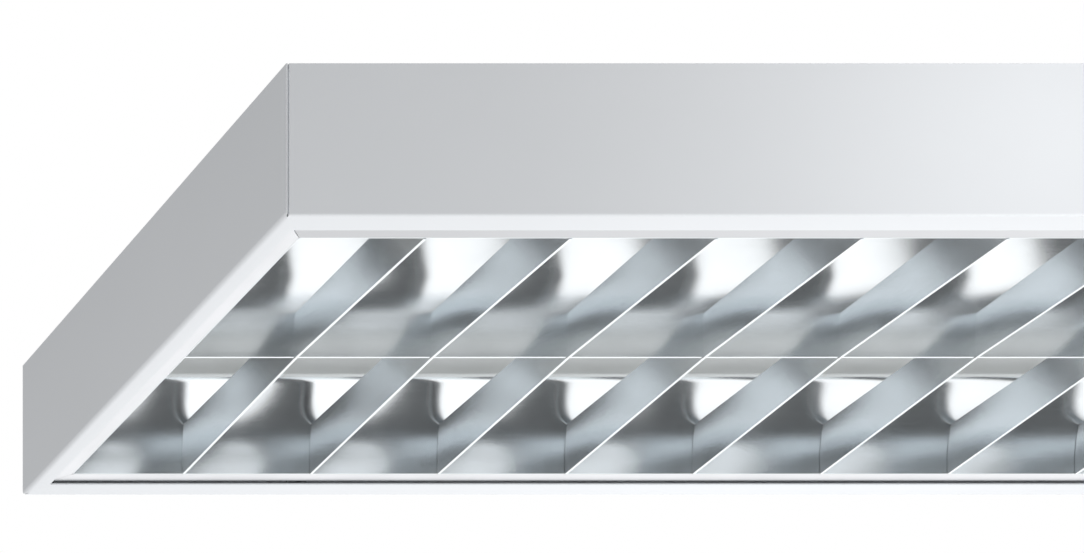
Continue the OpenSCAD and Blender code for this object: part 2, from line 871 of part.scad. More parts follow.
mirror([1, 0, 0]) mirror([0, 1, 0]) spring_catch();  // catch_left
mirror([0, 1, 0]) spring_catch();  // catch_right
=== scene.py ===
"""Dresses a louvered ceiling light: smooth reflectors and blades, glass tubes, painted sheet and fixings."""

import json
import math

import bmesh
import bpy
from bpy.props import FloatProperty, FloatVectorProperty, IntProperty, PointerProperty
from mathutils import Matrix, Vector


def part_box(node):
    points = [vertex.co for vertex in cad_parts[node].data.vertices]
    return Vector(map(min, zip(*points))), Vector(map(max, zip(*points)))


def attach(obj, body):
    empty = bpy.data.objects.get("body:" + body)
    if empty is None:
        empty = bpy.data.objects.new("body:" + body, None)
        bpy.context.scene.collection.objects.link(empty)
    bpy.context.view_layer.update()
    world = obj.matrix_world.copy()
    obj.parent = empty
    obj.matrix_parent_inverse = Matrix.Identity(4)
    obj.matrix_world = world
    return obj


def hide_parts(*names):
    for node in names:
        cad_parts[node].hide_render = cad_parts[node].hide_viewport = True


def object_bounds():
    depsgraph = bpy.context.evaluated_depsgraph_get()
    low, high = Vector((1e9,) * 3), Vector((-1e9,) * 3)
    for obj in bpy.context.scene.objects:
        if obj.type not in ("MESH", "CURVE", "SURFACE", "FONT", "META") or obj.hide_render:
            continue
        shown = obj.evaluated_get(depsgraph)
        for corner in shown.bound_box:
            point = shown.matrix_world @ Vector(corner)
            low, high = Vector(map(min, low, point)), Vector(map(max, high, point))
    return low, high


bl_info = {
    "name": "Louvered Ceiling Light",
    "version": (1, 0, 0),
    "blender": (4, 5, 0),
    "location": "View3D > Sidebar > Louvre Light",
    "description": "Builds the reflectors, blades, tubes, finishes and studio of a louvered ceiling light",
    "category": "Add Mesh",
}

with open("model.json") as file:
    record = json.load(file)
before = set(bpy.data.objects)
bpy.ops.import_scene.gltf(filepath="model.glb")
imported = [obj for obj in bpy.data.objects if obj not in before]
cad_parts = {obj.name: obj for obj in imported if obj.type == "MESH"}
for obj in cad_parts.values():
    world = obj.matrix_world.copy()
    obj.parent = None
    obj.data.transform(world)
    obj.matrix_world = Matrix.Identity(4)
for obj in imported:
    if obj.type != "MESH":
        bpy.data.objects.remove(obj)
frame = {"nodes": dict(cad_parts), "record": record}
NODES = frame["nodes"]
CAD_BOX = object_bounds()
MM = 0.001

# Places of the housing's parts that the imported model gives
HALF_L = CAD_BOX[1].x
HALF_W = CAD_BOX[1].y
BODY_H = CAD_BOX[1].z - CAD_BOX[0].z
LOUVRE_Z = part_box("rail_near")[0].z
ROW_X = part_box("reflector_near")[1].x
BLADE_NAMES = sorted((n for n in NODES if n.startswith("cross_blade_")), key=lambda n: int(n.split("_")[-1]))
BLADE_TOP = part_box(BLADE_NAMES[0])[1].z - LOUVRE_Z
SIDES = ("near", "far")
ENDS = ("left", "right")
# Axes along which sheet is rolled: the fixture's length and its width
ALONG = 0
ACROSS = 1
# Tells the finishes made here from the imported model's plain ones
FINISH_END = "_finish"

# Finishes: the middle band of a noise, how far rolled lines are stretched and what they add to the gloss,
# how fine the crystals of plated metal are, and the colour of the lamps' light
NOISE_BAND = (0.3, 0.7)
LINE_STRETCH = 0.01
LINE_SHARE = 0.5
CRYSTAL_SCALE = 260.0
GLOW_COLOUR = (1.0, 0.99, 0.97, 1.0)

# Steps of the curves: a side or end reflector, its bend, the centre reflector in and above its slots,
# the foot below the centre edge, and a blade from edge to top and from end to end
REFLECTOR_STEPS = 48
BEND_STEPS = 12
SLOT_STEPS = 32
UPPER_STEPS = 28
FOOT_STEPS = 4
BLADE_STEPS = 20
BLADE_SPAN_STEPS = 8
# Rounds in which a blade's end settles on the side reflector's curve
SETTLE_ROUNDS = 4

# Steps round a tube, round a small turned piece and over a rivet's dome
TUBE_AROUND = 64
TURNED_AROUND = 40
DOME_STEPS = 10

# Angles in degrees above which an edge is shaded sharp
SHEET_CREASE = 35
FOLD_CREASE = 25
RAIL_CREASE = 30
COVER_CREASE = 45
TURNED_CREASE = 40
GLASS_CREASE = 60
# Faces that meet under this angle are joined, and points nearer than these distances are merged
FLAT_ANGLE = 0.5
MERGE_DISTANCE = 1e-6
FINE_MERGE_DISTANCE = 1e-7

# Rows of fixings
RIVETS_PER_CAP = 3
SCREWS_PER_ROW = 2
TRAY_SCREW_ROWS = 2
BALLAST_SCREW_ROWS = 1

# Profiles as shares of radius and height, from the middle outwards
RIVET_PIN_SHARES = ((0.0, 0.4), (0.6, 0.4), (0.9, 0.55), (1.0, 0.9))
SCREW_HEAD_SHARES = ((0.0, 1.0), (0.6, 1.0), (0.82, 0.95), (0.95, 0.78), (1.0, 0.5), (1.0, 0.06),
                     (0.985, 0.0))
# The slot's cutter passes the head by these shares of its radius and depth
SLOT_CUT_SHARES = (3, 2)
# A tube's drawn-in end: distance from the end, and share of the tube's radius there
TUBE_ENDS = (0.0, 0.0006, 0.002, 0.0045, 0.008)
TUBE_END_SHARES = (0.35, 0.7, 0.9, 0.98, 1.0)
# The border's face reaches this share of its sheet's thickness above the louvre's lowest level
FACE_SHARE = 1.5

# Studio: half the floor's width, its look, and where the surroundings change with a direction's X or Z
FLOOR_REACH = 30.0
FLOOR_COLOUR = (0.82, 0.82, 0.82, 1.0)
FLOOR_ROUGHNESS = 0.8
FLOOR_GLOW = 0.6
WHITE = (1.0, 1.0, 1.0, 1.0)
LOW_BAND = (-0.8, -0.62)
SIDE_BAND = (-0.1, 0.4)
FILL_BAND = (-0.3, 0.3)
# Lights: place, the point that each looks at, and size
LOW_LIGHT = ((0.6, -0.2, -2.0), (0.0, 0.0, 0.0), (2.4, 1.6))
KEY_LIGHT = ((-0.05, -0.5, -0.05), (-0.05, 0.0, -0.05), (0.2, 0.1))
LIP_LIGHT = ((0.0, 0.1, -0.75), (0.0, 0.1, 0.0), (0.3, 0.3))

# The photograph's one-point perspective, in pixels of its 1084 x 553 frame and millimetres:
# vanishing point of the depth direction, eye from the near left lower corner, and focal length
PHOTO = (1084.0, 553.0)
VANISHING = (-1499.9, 2113.2)
EYE = (-1220.7, -1704.4, -1297.0)
FOCAL = 2493.9
SENSOR_WIDTH = 36.0
CLIP_END = 100.0


class LouvreSizes(bpy.types.PropertyGroup):
    """Sizes of the louvre's curved sheets"""

    sheet: FloatProperty(name="Reflector sheet", description="Thickness of the reflectors' sheet",
                         default=0.0006, min=0.0002, max=0.002, precision=5, subtype="DISTANCE",
                         unit="LENGTH")
    blade_sheet: FloatProperty(name="Blade sheet", description="Thickness of a cross blade's sheet",
                               default=0.0005, min=0.0002, max=0.002, precision=5, subtype="DISTANCE",
                               unit="LENGTH")
    row_half: FloatProperty(name="Row edge",
                            description="Distance from the middle to the rows' outer edges", default=0.124,
                            min=0.05, max=0.2, precision=4, subtype="DISTANCE", unit="LENGTH")
    lean: FloatProperty(name="Lean",
                        description="How far a side reflector would lean over its row at its bend",
                        default=0.024, min=0.0, max=0.04, precision=4, subtype="DISTANCE", unit="LENGTH")
    centre_lean: FloatProperty(name="Centre lean",
                               description="How far a centre wall leans out where it gets flat",
                               default=0.0139, min=0.0, max=0.03, precision=4, subtype="DISTANCE",
                               unit="LENGTH")
    centre_curve: FloatProperty(name="Centre curve", description="How sharply a centre wall curves",
                                default=3.0, min=1.0, max=5.0)
    centre_bend: FloatProperty(name="Centre bend",
                               description="Height over its edge at which a centre wall gets flat",
                               default=0.050, min=0.02, max=0.07, precision=4, subtype="DISTANCE",
                               unit="LENGTH")
    curve: FloatProperty(name="Curve", description="How sharply a side reflector curves towards its top",
                         default=2.5, min=1.0, max=5.0)
    curve_height: FloatProperty(name="Bend height",
                                description="Height at which the side reflectors turn upright",
                                default=0.060, min=0.02, max=0.1, precision=4, subtype="DISTANCE",
                                unit="LENGTH")
    bend_half: FloatProperty(name="Bend", description="Half the height of the bend that turns them upright",
                             default=0.003, min=0.0005, max=0.01, precision=4, subtype="DISTANCE",
                             unit="LENGTH")
    reflector_height: FloatProperty(name="Reflector height",
                                    description="Height of the reflectors over the border", default=0.076,
                                    min=0.02, max=0.1, precision=4, subtype="DISTANCE", unit="LENGTH")
    end_height: FloatProperty(name="End height", description="Height of the end reflectors over the border",
                              default=0.048, min=0.02, max=0.1, precision=4, subtype="DISTANCE",
                              unit="LENGTH")
    rise: FloatProperty(name="Centre rise", description="How far the middle edge lies above the border",
                        default=0.0048, min=0.0, max=0.01, precision=4, subtype="DISTANCE", unit="LENGTH")
    edge: FloatProperty(name="Folded edge", description="Half the width of a folded lower edge",
                        default=0.0006, min=0.0003, max=0.002, precision=5, subtype="DISTANCE",
                        unit="LENGTH")
    blade_lean: FloatProperty(name="Blade lean", description="How far a blade's face leans out at its top",
                              default=0.0032, min=0.0, max=0.01, precision=4, subtype="DISTANCE",
                              unit="LENGTH")
    blade_curve: FloatProperty(name="Blade curve", description="How sharply a blade's faces curve",
                               default=2.0, min=1.0, max=5.0)
    blade_count: IntProperty(name="Blades", description="Number of cross blades", default=len(BLADE_NAMES),
                             min=1, max=30)
    rim_slope: FloatProperty(name="Rim slope",
                             description="How far the border's face rises towards its outer edge",
                             default=0.002, min=0.0, max=0.003, precision=4, subtype="DISTANCE",
                             unit="LENGTH")
    rim_sheet: FloatProperty(name="Rim sheet", description="Thickness of the border's sheet", default=0.001,
                             min=0.0005, max=0.002, precision=4, subtype="DISTANCE", unit="LENGTH")
    seam: FloatProperty(name="Seam", description="Width that shows of the seam beside an end cap",
                        default=0.001, min=0.0, max=0.003, precision=4, subtype="DISTANCE", unit="LENGTH")
    fit: FloatProperty(name="Fit", description="Clearance round a blade in its slot", default=0.0002,
                       min=0.0, max=0.001, precision=5, subtype="DISTANCE", unit="LENGTH")


class FixingSizes(bpy.types.PropertyGroup):
    """Sizes of the rivets and screws"""

    rivet_head: FloatProperty(name="Rivet head", description="Radius of a rivet's head", default=0.003,
                              min=0.001, max=0.006, precision=5, subtype="DISTANCE", unit="LENGTH")
    rivet_rise: FloatProperty(name="Rivet rise", description="Height of a rivet's head", default=0.0012,
                              min=0.0005, max=0.003, precision=5, subtype="DISTANCE", unit="LENGTH")
    rivet_pin: FloatProperty(name="Rivet pin", description="Radius of the hole that a rivet's pin leaves",
                             default=0.0009, min=0.0003, max=0.002, precision=5, subtype="DISTANCE",
                             unit="LENGTH")
    rivet_shank: FloatProperty(name="Rivet shank", description="Radius of a rivet's shank", default=0.00157,
                               min=0.0005, max=0.003, precision=5, subtype="DISTANCE", unit="LENGTH")
    rivet_grip: FloatProperty(name="Rivet grip", description="Thickness that a rivet holds", default=0.002,
                              min=0.0005, max=0.005, precision=5, subtype="DISTANCE", unit="LENGTH")
    screw_head: FloatProperty(name="Screw head", description="Radius of a screw's head", default=0.0036,
                              min=0.001, max=0.008, precision=5, subtype="DISTANCE", unit="LENGTH")
    screw_rise: FloatProperty(name="Screw rise", description="Height of a screw's head", default=0.0024,
                              min=0.0005, max=0.005, precision=5, subtype="DISTANCE", unit="LENGTH")
    screw_shank: FloatProperty(name="Screw shank", description="Radius of a screw's shank", default=0.00197,
                               min=0.0005, max=0.004, precision=5, subtype="DISTANCE", unit="LENGTH")
    slot_width: FloatProperty(name="Slot width", description="Width of a screw's slot", default=0.001,
                              min=0.0003, max=0.003, precision=5, subtype="DISTANCE", unit="LENGTH")
    slot_depth: FloatProperty(name="Slot depth", description="Depth of a screw's slot", default=0.0008,
                              min=0.0003, max=0.003, precision=5, subtype="DISTANCE", unit="LENGTH")


class LightFinish(bpy.types.PropertyGroup):
    """Colours of the visible finishes"""

    paint: FloatVectorProperty(name="Paint", description="White paint of the housing", subtype="COLOR",
                               default=(0.795, 0.815, 0.84), min=0.0, max=1.0)
    tray_paint: FloatVectorProperty(name="Tray paint", description="Glossy white paint of the gear tray",
                                    subtype="COLOR", default=(0.86, 0.86, 0.85), min=0.0, max=1.0)
    aluminium: FloatVectorProperty(name="Aluminium", description="Satin aluminium of the reflectors",
                                   subtype="COLOR", default=(0.83, 0.86, 0.88), min=0.0, max=1.0)
    rail: FloatVectorProperty(name="Border", description="Satin aluminium of the louvre's border",
                              subtype="COLOR", default=(0.80, 0.81, 0.83), min=0.0, max=1.0)
    glow: FloatProperty(name="Lamp glow", description="Strength of the lamps' own light", default=0.35,
                        min=0.0, max=10.0)
    gloss: FloatProperty(name="Reflector roughness", description="Roughness of the satin aluminium",
                         default=0.19, min=0.0, max=1.0)
    rail_gloss: FloatProperty(name="Border roughness", description="Roughness of the louvre's border",
                              default=0.34, min=0.0, max=1.0)


class StudioSizes(bpy.types.PropertyGroup):
    """Sizes and strengths of the studio"""

    floor_z: FloatProperty(name="Floor", description="Height of the floor", default=-2.3, min=-5.0,
                           max=-0.2, subtype="DISTANCE", unit="LENGTH")
    fill_under: FloatProperty(name="Fill from under", description="Strength of the even light from below",
                              default=0.92, min=0.0, max=2.0)
    fill_over: FloatProperty(name="Fill from over", description="Strength of the even light from above",
                             default=0.24, min=0.0, max=2.0)
    bright: FloatProperty(name="Bright side", description="Strength of the surroundings at the right",
                          default=1.3, min=0.0, max=2.0)
    below: FloatProperty(name="Below", description="Strength of the surroundings under the light",
                         default=0.3, min=0.0, max=2.0)
    dim: FloatProperty(name="Dim side", description="Strength of the surroundings at the left",
                       default=0.12, min=0.0, max=2.0)
    key: FloatProperty(name="Key light", description="Power of the soft light in front of the near side",
                       default=0.62, min=0.0, max=400.0, subtype="POWER", unit="POWER")
    lip: FloatProperty(name="Lip light", description="Power of the soft light under the bottom lips",
                       default=0.9, min=0.0, max=400.0, subtype="POWER", unit="POWER")
    low: FloatProperty(name="Low light", description="Power of the light under the fixture", default=5.0,
                       min=0.0, max=400.0, subtype="POWER", unit="POWER")


def sizes():
    return bpy.context.scene.louvre_sizes


# Meshes

def new_object(name, mesh, skin=None):
    piece = bpy.data.objects.new(name, mesh)
    bpy.context.scene.collection.objects.link(piece)
    if skin:
        mesh.materials.clear()
        mesh.materials.append(skin)
    return piece


def mesh_from(name, points, faces, sharp_angle):
    """A mesh with merged points, outward faces and smooth shading up to sharp_angle degrees."""
    mesh = bpy.data.meshes.new(name)
    mesh.from_pydata([tuple(p) for p in points], [], faces)
    work = bmesh.new()
    work.from_mesh(mesh)
    bmesh.ops.remove_doubles(work, verts=work.verts, dist=FINE_MERGE_DISTANCE)
    bmesh.ops.recalc_face_normals(work, faces=work.faces)
    work.to_mesh(mesh)
    work.free()
    mesh.shade_smooth()
    mesh.set_sharp_from_angle(angle=math.radians(sharp_angle))
    return mesh


def grid_faces(rows, columns, start=0, closed=False, skip=()):
    """Quads of a grid of points stored row by row; skip holds the (row, column) cells left open."""
    faces = []
    for r in range(rows - 1):
        for c in range(columns if closed else columns - 1):
            if (r, c) in skip:
                continue
            n = (c + 1) % columns
            a = start + r * columns
            faces.append((a + c, a + n, a + columns + n, a + columns + c))
    return faces


def apply_modifiers(piece):
    graph = bpy.context.evaluated_depsgraph_get()
    mesh = bpy.data.meshes.new_from_object(piece.evaluated_get(graph), depsgraph=graph)
    piece.modifiers.clear()
    old = piece.data
    piece.data = mesh
    name = old.name
    bpy.data.meshes.remove(old)
    mesh.name = name


def sheet_piece(name, points, faces, skin, thickness):
    """A smooth piece of sheet whose thickness grows behind its faces."""
    mesh = bpy.data.meshes.new(name)
    mesh.from_pydata(points, [], faces)
    mesh.shade_smooth()
    piece = new_object(name, mesh, skin)
    modifier = piece.modifiers.new("Sheet", "SOLIDIFY")
    modifier.thickness = thickness
    modifier.offset = -1
    modifier.use_even_offset = True
    apply_modifiers(piece)
    piece.data.set_sharp_from_angle(angle=math.radians(SHEET_CREASE))
    return piece


def turned_over(faces):
    return [f[::-1] for f in faces]


def lean_at(height):
    """How far a side or end reflector's face has leaned at a height over its lower edge."""
    s = sizes()
    bend = s.curve_height - s.bend_half
    lean = s.lean * (min(max(height, 0.0), bend) / s.curve_height) ** s.curve
    past = min(max(height - bend, 0.0), 2 * s.bend_half)
    slope = s.curve * s.lean / s.curve_height * (bend / s.curve_height) ** (s.curve - 1)
    return lean + slope * (past - past * past / (4 * s.bend_half))


def centre_lean_at(height):
    """Half the centre reflector's width at a height over the border."""
    s = sizes()
    rise = max(height - s.rise, 0.0)
    curved = min(rise, s.centre_bend)
    straight = s.centre_curve * (rise - curved) / s.centre_bend
    return s.edge + s.centre_lean * ((curved / s.centre_bend) ** s.centre_curve + straight)


def blade_half_at(height):
    """Half a blade's width at a height over its own lower edge."""
    s = sizes()
    return s.edge + s.blade_lean * (max(height, 0.0) / BLADE_TOP) ** s.blade_curve


def blade_places():
    return [(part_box(n)[0].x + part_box(n)[1].x) / 2 for n in BLADE_NAMES]


def steps(low, high, count):
    return [low + (high - low) * i / count for i in range(count + 1)]


# Materials

class Nodes:
    """Short way to wire one material's nodes."""

    def __init__(self, name):
        self.material = bpy.data.materials.new(name + FINISH_END)
        self.material.use_nodes = True
        self.tree = self.material.node_tree
        self.shader = self.tree.nodes["Principled BSDF"]
        self.place = self.add("ShaderNodeTexCoord").outputs["Object"]

    def add(self, kind, **values):
        node = self.tree.nodes.new(kind)
        for key, value in values.items():
            setattr(node, key, value)
        return node

    def link(self, a, b):
        self.tree.links.new(a, b)

    def noise(self, scale, detail=2.0, rough=0.5, stretch=None):
        node = self.add("ShaderNodeTexNoise")
        node.inputs["Scale"].default_value = scale
        node.inputs["Detail"].default_value = detail
        node.inputs["Roughness"].default_value = rough
        place = self.place
        if stretch:
            mapping = self.add("ShaderNodeMapping")
            mapping.inputs["Scale"].default_value = stretch
            self.link(place, mapping.inputs["Vector"])
            place = mapping.outputs["Vector"]
        self.link(place, node.inputs["Vector"])
        return node.outputs["Fac"]

    def spread(self, value, low, high, band=NOISE_BAND):
        """Runs from low to high where the value passes the band."""
        node = self.add("ShaderNodeMapRange")
        node.inputs["From Min"].default_value, node.inputs["From Max"].default_value = band
        node.inputs["To Min"].default_value = low
        node.inputs["To Max"].default_value = high
        self.link(value, node.inputs["Value"])
        return node.outputs["Result"]

    def tint(self, value, colour, share):
        """The colour, darkened by up to share where value is low."""
        node = self.add("ShaderNodeMix", data_type="RGBA")
        self.link(self.spread(value, 0.0, 1.0), node.inputs["Factor"])
        node.inputs["A"].default_value = (*[c * (1 - share) for c in colour], 1.0)
        node.inputs["B"].default_value = (*colour, 1.0)
        self.link(node.outputs["Result"], self.shader.inputs["Base Color"])

    def gloss(self, value, roughness, less, more, band=NOISE_BAND):
        """Roughness that wanders with the value, from less under its mean to more over it."""
        wander = self.spread(value, roughness - less, roughness + more, band)
        self.link(wander, self.shader.inputs["Roughness"])

    def bump(self, value, strength, distance):
        node = self.add("ShaderNodeBump")
        node.inputs["Strength"].default_value = strength
        node.inputs["Distance"].default_value = distance
        self.link(value, node.inputs["Height"])
        self.link(node.outputs["Normal"], self.shader.inputs["Normal"])

    def set(self, **values):
        for key, value in values.items():
            self.shader.inputs[key.replace("_", " ")].default_value = value


def painted(name, colour, roughness, coat=0.0):
    """Sprayed paint: faint cloudiness in colour and gloss and a very fine ripple."""
    n = Nodes(name)
    n.tint(n.noise(scale=6.0, detail=3.0), colour, share=0.02)
    n.gloss(n.noise(scale=40.0, detail=4.0), roughness, less=0.04, more=0.05)
    n.bump(n.noise(scale=900.0), strength=0.12, distance=0.00008)
    n.set(Coat_Weight=coat, Coat_Roughness=0.12, Specular_IOR_Level=0.25)


def rolled_metal(name, colour, roughness, along):
    """Rolled and anodised sheet: fine lines along one direction and a soft cloudiness in its gloss."""
    n = Nodes(name)
    stretch = tuple(LINE_STRETCH if axis == along else 1.0 for axis in range(3))
    lines = n.noise(scale=1400.0, detail=3.0, rough=0.6, stretch=stretch)
    n.tint(n.noise(scale=9.0, detail=3.0), colour, share=0.04)
    mixed = n.add("ShaderNodeMath", operation="MULTIPLY_ADD")
    n.link(lines, mixed.inputs[0])
    mixed.inputs[1].default_value = LINE_SHARE
    n.link(n.noise(scale=25.0, detail=3.0), mixed.inputs[2])
    n.gloss(mixed.outputs["Value"], roughness, less=0.03, more=0.05, band=(0.5, 1.0))
    n.bump(lines, strength=0.1, distance=0.00002)
    n.set(Metallic=1.0)


def moulded(name, colour, roughness):
    """Moulded plastic with a fine grain."""
    n = Nodes(name)
    n.tint(n.noise(scale=30.0, detail=3.0), colour, share=0.03)
    n.gloss(n.noise(scale=120.0, detail=3.0), roughness, less=0.05, more=0.05)
    n.bump(n.noise(scale=2500.0), strength=0.15, distance=0.00006)


def plated(name, colour, roughness):
    """Plated metal with crystal patches in its gloss and small scuffs."""
    n = Nodes(name)
    cells = n.add("ShaderNodeTexVoronoi")
    cells.inputs["Scale"].default_value = CRYSTAL_SCALE
    n.link(n.place, cells.inputs["Vector"])
    n.tint(cells.outputs["Distance"], colour, share=0.12)
    n.gloss(n.noise(scale=160.0, detail=4.0), roughness, less=0.06, more=0.1)
    n.bump(n.noise(scale=1500.0, detail=3.0), strength=0.1, distance=0.00004)
    n.set(Metallic=1.0)


def coated_glass(name, colour, roughness, glow):
    """Glass tube with a white powder coat inside: pale diffuse body under a clear smooth surface."""
    n = Nodes(name)
    n.tint(n.noise(scale=18.0, detail=3.0), colour, share=0.025)
    n.gloss(n.noise(scale=60.0), roughness, less=0.06, more=0.06)
    n.set(Coat_Weight=1.0, Coat_Roughness=0.03, Emission_Color=GLOW_COLOUR, Emission_Strength=glow)


def make_finishes():
    f = bpy.context.scene.light_finish
    painted("painted_steel", f.paint, roughness=0.38)
    painted("white_tray", f.tray_paint, roughness=0.3, coat=0.2)
    plated("rivet_metal", (0.78, 0.79, 0.80), roughness=0.32)
    plated("plated_steel", (0.66, 0.67, 0.68), roughness=0.35)
    painted("ballast_case", (0.62, 0.63, 0.64), roughness=0.42)
    moulded("white_plastic", (0.82, 0.82, 0.80), roughness=0.4)
    moulded("grey_plastic", (0.52, 0.53, 0.53), roughness=0.45)
    plated("earth_brass", (0.75, 0.58, 0.26), roughness=0.3)
    moulded("grommet_rubber", (0.02, 0.02, 0.02), roughness=0.7)
    moulded("wire_cover", (0.72, 0.71, 0.64), roughness=0.45)
    coated_glass("tube_glass", (0.90, 0.91, 0.90), roughness=0.56, glow=f.glow)
    for end, along in (("", ALONG), ("_cross", ACROSS)):
        rolled_metal("rail_aluminium" + end, f.rail, f.rail_gloss, along)
        rolled_metal("satin_aluminium" + end, f.aluminium, f.gloss, along)


def material(name):
    return bpy.data.materials[name + FINISH_END]


def ride_as(piece, body, slot, *nodes):
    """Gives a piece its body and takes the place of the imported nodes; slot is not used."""
    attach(piece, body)
    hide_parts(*nodes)


class LIGHT_OT_finishes(bpy.types.Operator):
    """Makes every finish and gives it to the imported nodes"""

    bl_idname = "light.finishes"
    bl_label = "Finishes"

    def execute(self, context):
        make_finishes()
        for part in frame["record"]["subparts"]:
            node = NODES[part["node"]]
            name = part["material_slot"]
            if part["node"] in ("rail_left", "rail_right"):
                name += "_cross"
            node.data.materials.clear()
            node.data.materials.append(material(name))
        return {"FINISHED"}


class LIGHT_OT_side_reflectors(bpy.types.Operator):
    """Builds the curved reflectors along the two long sides"""

    bl_idname = "light.side_reflectors"
    bl_label = "Side reflectors"

    def execute(self, context):
        s = sizes()
        bend = s.curve_height - s.bend_half
        heights = steps(0.0, bend, REFLECTOR_STEPS)
        heights += steps(bend, bend + 2 * s.bend_half, BEND_STEPS)[1:]
        heights.append(s.reflector_height)
        for side, sign in zip(SIDES, (-1, 1)):
            points = []
            for h in heights:
                y = sign * (s.row_half - lean_at(h))
                points += [(x, y, LOUVRE_Z + h) for x in (-ROW_X, ROW_X)]
            faces = grid_faces(len(heights), 2)
            if sign < 0:
                faces = turned_over(faces)
            piece = sheet_piece("side_reflector_" + side, points, faces, material("satin_aluminium"), s.sheet)
            ride_as(piece, "louvre", "satin_aluminium", "reflector_" + side)
        return {"FINISHED"}


class LIGHT_OT_centre_reflector(bpy.types.Operator):
    """Builds the folded reflector between the rows, with a slot for each blade"""

    bl_idname = "light.centre_reflector"
    bl_label = "Centre reflector"

    def execute(self, context):
        s = sizes()
        slot_top = BLADE_TOP + s.fit
        heights = steps(s.rise, slot_top, SLOT_STEPS) + steps(slot_top, s.reflector_height, UPPER_STEPS)[1:]
        places = blade_places()
        points = []
        for sign, order in ((-1, reversed(heights)), (1, heights)):
            for h in order:
                half = blade_half_at(min(h, slot_top) - s.rise) + s.fit
                end = ROW_X - lean_at(h) - s.fit
                xs = [-end]
                for x in places:
                    xs += [x - half, x + half]
                xs.append(end)
                points += [(x, sign * centre_lean_at(h), LOUVRE_Z + h) for x in xs]
        columns = 2 * len(places) + 2
        rows = 2 * len(heights)
        first_slot_row = len(heights) - 1 - SLOT_STEPS
        slot_rows = range(first_slot_row, rows - 1 - first_slot_row)
        slots = {(r, c) for r in slot_rows for c in range(1, columns - 1, 2)}
        faces = turned_over(grid_faces(rows, columns, skip=slots))
        piece = sheet_piece("centre_reflector_sheet", points, faces, material("satin_aluminium"), s.sheet)
        ride_as(piece, "louvre", "satin_aluminium", "reflector_centre")
        return {"FINISHED"}


class LIGHT_OT_end_reflectors(bpy.types.Operator):
    """Builds the curved reflectors at the rows' ends"""

    bl_idname = "light.end_reflectors"
    bl_label = "End reflectors"

    def execute(self, context):
        s = sizes()
        heights = steps(0.0, s.rise, FOOT_STEPS) + steps(s.rise, s.end_height, REFLECTOR_STEPS)[1:]
        for end, sign in zip(ENDS, (-1, 1)):
            points = []
            for h in heights:
                inner = centre_lean_at(h) + s.fit if h > s.rise else s.edge + s.fit
                outer = s.row_half - lean_at(h) - s.fit
                x = sign * (ROW_X - lean_at(h))
                points += [(x, y, LOUVRE_Z + h) for y in (-outer, -inner, inner, outer)]
            open_cells = {(r, 1) for r in range(FOOT_STEPS, len(heights))}
            faces = grid_faces(len(heights), 4, skip=open_cells)
            if sign > 0:
                faces = turned_over(faces)
            skin = material("satin_aluminium_cross")
            piece = sheet_piece("end_reflector_" + end, points, faces, skin, s.sheet)
            ride_as(piece, "louvre", "satin_aluminium", "reflector_" + end)
        return {"FINISHED"}


def folded_blade():
    """One folded blade across both rows, its middle at zero and its lower edge rising to the middle."""
    s = sizes()
    shares = steps(0.0, 1.0, BLADE_STEPS)
    across = steps(-1.0, 1.0, BLADE_SPAN_STEPS)
    points = []
    for sign, order in ((-1, list(reversed(shares))), (1, shares)):
        for t in order:
            for u in across:
                y = u * s.row_half
                for _ in range(SETTLE_ROUNDS):
                    low = s.rise * (1 - abs(y) / s.row_half)
                    h = low + t * (BLADE_TOP - low)
                    y = u * (s.row_half - lean_at(h) - s.fit)
                low = s.rise * (1 - abs(y) / s.row_half)
                h = low + t * (BLADE_TOP - low)
                points.append((sign * blade_half_at(h - low), y, h))
    faces = turned_over(grid_faces(2 * len(shares), len(across)))
    return sheet_piece("cross_blades", points, faces, material("satin_aluminium_cross"), s.blade_sheet)


def grid_tree():
    """Node tree that sets copies of a piece in rows."""
    tree = bpy.data.node_groups.new("Rows of Pieces", "GeometryNodeTree")
    face = tree.interface
    sockets = (("Geometry", "Geometry"), ("First Place", "Vector"), ("Count", "Int"), ("Step", "Vector"),
               ("Rows", "Int"), ("Row Step", "Vector"), ("Finish", "Material"))
    for name, kind in sockets:
        face.new_socket(name, in_out="INPUT", socket_type="NodeSocket" + kind)
    face.new_socket("Geometry", in_out="OUTPUT", socket_type="NodeSocketGeometry")
    source = tree.nodes.new("NodeGroupInput")
    link = tree.links.new

    def line(count, step, start=None):
        node = tree.nodes.new("GeometryNodeMeshLine")
        node.mode = "OFFSET"
        link(source.outputs[count], node.inputs["Count"])
        link(source.outputs[step], node.inputs["Offset"])
        if start:
            link(source.outputs[start], node.inputs["Start Location"])
        return node.outputs["Mesh"]

    def copies(points, piece):
        node = tree.nodes.new("GeometryNodeInstanceOnPoints")
        link(points, node.inputs["Points"])
        link(piece, node.inputs["Instance"])
        return node.outputs["Instances"]

    one_row = copies(line("Count", "Step", "First Place"), source.outputs["Geometry"])
    all_rows = copies(line("Rows", "Row Step"), one_row)
    real = tree.nodes.new("GeometryNodeRealizeInstances")
    link(all_rows, real.inputs["Geometry"])
    paint = tree.nodes.new("GeometryNodeSetMaterial")
    link(real.outputs["Geometry"], paint.inputs["Geometry"])
    link(source.outputs["Finish"], paint.inputs["Material"])
    out = tree.nodes.new("NodeGroupOutput")
    link(paint.outputs["Geometry"], out.inputs["Geometry"])
    return tree


